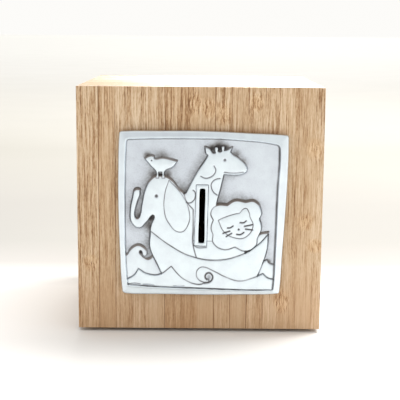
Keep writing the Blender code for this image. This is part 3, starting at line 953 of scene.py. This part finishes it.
def metal():
    """Cast metal, polished on its high places, with a dark patina left in the low ones and painted shade
    added to it.
    """
    s = Shading("cast_metal")
    place = s.add("TexCoord", output="Object")
    patina_and_shade, polish, brown = (
        s.add("Attribute", output="Fac", attribute_name=name)
        for name in ("patina_and_shade", "polish", "brown")
    )
    grains = s.noise(place, 2600, 3, 0.6)
    clouds = s.noise(place, 150, 3, 0.5)
    matt = s.math("SUBTRACT", 1.0, polish)
    cast = s.math("MULTIPLY", matt, s.between(clouds, 0.3, 0.7, 0.18, 0.24))
    wear_and_shade = s.math("MULTIPLY", polish, s.between(clouds, 0.35, 0.7, 0, 0.07))
    fleck = s.math("MULTIPLY", s.between(grains, 0.45, 0.75), s.between(matt, 0, 1, 0.05, 0.1))
    plain = s.math("ADD", s.math("ADD", cast, wear_and_shade), fleck)
    dark = s.math("MULTIPLY_ADD", plain, s.math("SUBTRACT", 1.0, patina_and_shade), patina_and_shade)
    colour = s.ramp(
        dark,
        (0.0, (0.715, 0.795, 0.84)), (0.25, (0.56, 0.605, 0.665)), (0.5, (0.29, 0.305, 0.325)),
        (0.75, (0.10, 0.10, 0.102)), (1.0, (0.02, 0.018, 0.02)),
    )
    stained = s.math("MULTIPLY", brown, s.between(dark, 0.2, 0.5))
    colour = s.mix(stained, colour, (1.0, 0.82, 0.70, 1), "MULTIPLY")
    dull = s.math("MULTIPLY_ADD", clouds, 0.2, s.between(dark, 0.1, 0.7))
    relief = s.math("ADD", s.math("MULTIPLY", grains, matt), s.math("MULTIPLY", clouds, 0.4))
    return s.surface(
        base_color=colour,
        metallic=s.between(dark, 0.2, 0.9, 1, 0.15),
        roughness=s.between(dull, 0, 1.1, 0.3, 0.62),
        normal=s.bump(relief, 0.35, 0.00012),
    )


def foam():
    """Closed-cell foam: fine pores."""
    s = Shading("foam")
    place = s.add("TexCoord", output="Object")
    pores = s.add("TexVoronoi", {"Vector": place, "Scale": 3500}, "Distance")
    colour = s.mix(s.between(pores, 0.1, 0.6), (0.45, 0.45, 0.43, 1), (0.8, 0.8, 0.77, 1))
    return s.surface(base_color=colour, roughness=0.9, normal=s.bump(pores, 0.5, 0.0001))


def rubber():
    """Moulded black rubber with a faint bloom."""
    s = Shading("soft_rubber")
    place = s.add("TexCoord", output="Object")
    bloom, texture = s.noise(place, 120, 4, 0.6), s.noise(place, 4000, 2)
    colour = s.mix(s.between(bloom, 0.4, 0.75), (0.022, 0.022, 0.023, 1), (0.06, 0.06, 0.06, 1))
    return s.surface(
        base_color=colour,
        roughness=s.between(bloom, 0.3, 0.7, 0.45, 0.68),
        normal=s.bump(texture, 0.25, 0.00005),
    )


def felt():
    """Pressed felt: short tangled fibres."""
    s = Shading("felt")
    place = s.add("TexCoord", output="Object")
    tangle = s.noise(s.add("Mapping", {"Vector": place, "Scale": (1, 0.5, 2)}), 2800, 5, 0.75)
    colour = s.mix(s.between(tangle, 0.35, 0.7), (0.07, 0.05, 0.038, 1), (0.26, 0.2, 0.155, 1))
    return s.surface(
        base_color=colour, roughness=1.0, sheen_weight=0.5, normal=s.bump(tangle, 0.9, 0.0003)
    )


def paper():
    """The pale floor, with painted shade making it greyer behind the box, and paler again far off."""
    s = Shading("floor")
    place = s.add("TexCoord", output="Object")
    depth = s.add("SeparateXYZ", {0: place}, 1)
    # The logarithm of metres behind the middle of the box: -1 is 0.1 m, and 0.7 is 5 m
    away = s.math("LOGARITHM", s.math("MAXIMUM", depth, 0.02), 10)
    painted_shade_behind = s.ramp(
        s.add("MapRange", {0: away, 1: -1.5, 2: 0.8}),
        (0.0, (0.81, 0.80, 0.79)), (0.13, (0.66, 0.648, 0.635)), (0.217, (0.47, 0.457, 0.443)),
        (0.32, (0.407, 0.398, 0.378)), (0.45, (0.396, 0.382, 0.36)), (0.60, (0.44, 0.426, 0.388)),
        (0.756, (0.635, 0.62, 0.58)), (0.87, (0.76, 0.75, 0.722)), (1.0, (0.805, 0.80, 0.772)),
    )
    cloud = s.between(s.noise(place, 6, 2), 0.3, 0.7, 0.99, 1.01)
    colour = s.add("VectorMath", {0: painted_shade_behind, 3: cloud}, operation="SCALE")
    return s.surface(base_color=colour, roughness=0.9)


# ---------------------------------------------------------------- studio

def make_floor():
    bm = bmesh.new()
    bmesh.ops.create_grid(bm, x_segments=1, y_segments=1, size=30)
    mesh = bpy.data.meshes.new("floor")
    bm.to_mesh(mesh)
    bm.free()
    mesh.materials.append(paper())
    floor = bpy.data.objects.new("floor", mesh)
    bpy.context.scene.collection.objects.link(floor)


def make_light(name, place, size, power, colour, target):
    data = bpy.data.lights.new(name, "AREA")
    data.shape, data.size, data.size_y = "RECTANGLE", *size
    data.energy, data.color = power, colour
    lamp = bpy.data.objects.new(name, data)
    lamp.location = place
    lamp.rotation_euler = (Vector(target) - Vector(place)).to_track_quat("-Z", "Y").to_euler()
    lamp.visible_camera = False
    bpy.context.scene.collection.objects.link(lamp)


def make_sun(name, direction, spread, energy, colour):
    data = bpy.data.lights.new(name, "SUN")
    data.energy, data.angle, data.color = energy, math.radians(spread), colour
    lamp = bpy.data.objects.new(name, data)
    lamp.rotation_euler = Vector(direction).to_track_quat("-Z", "Y").to_euler()
    bpy.context.scene.collection.objects.link(lamp)


def make_studio():
    """Daylight from high behind on the right, and a white room all round."""
    scene = bpy.context.scene
    world = bpy.data.worlds.new("room")
    world.use_nodes = True
    background = world.node_tree.nodes["Background"]
    background.inputs["Color"].default_value = (1.0, 0.99, 0.965, 1)
    background.inputs["Strength"].default_value = 0.98
    scene.world = world
    scene.view_settings.view_transform = "Standard"
    make_light("window", (0.82, 0.46, 1.45), (0.7, 0.7), 24, (1.0, 0.98, 0.95), CENTRE)
    make_light("skylight", (0.12, 0.62, 1.45), (0.6, 0.6), 7, (1.0, 0.985, 0.96), CENTRE)
    # Low light from behind, which glances off the top board
    make_sun("low_window", (-0.12, -1, -0.2), 24, 1.7, (1.0, 0.985, 0.95))


def make_camera():
    """A long lens, 0.52 m in front of the box and a little above its top, looking slightly down."""
    data = bpy.data.cameras.new("camera")
    data.sensor_width, data.lens = 36, 89.54
    camera = bpy.data.objects.new("camera", data)
    camera.location = (CENTRE.x, FRONT - 0.5192, front_low.z + 0.15876)
    tilt = Matrix.Rotation(math.radians(90 - 9.653), 4, "X")
    roll = Matrix.Rotation(math.radians(0.455), 4, "Z")
    camera.rotation_euler = (tilt @ roll).to_euler()
    bpy.context.scene.collection.objects.link(camera)
    bpy.context.scene.camera = camera


make_camera()
make_studio()
make_floor()
board("front_panel", "Z", "X", 0, [slot_loop()], FRONT_STRIPS, FRONT_KNUCKLES)
board("back_panel", "Z", "X", 5)
board("left_panel", "Z", "Y", 11)
board("right_panel", "Z", "Y", 17)
board("top_panel", "X", "Y", 23)
base_board(29)
make_foam_pad()
make_plaque()
make_stopper()
make_feet()
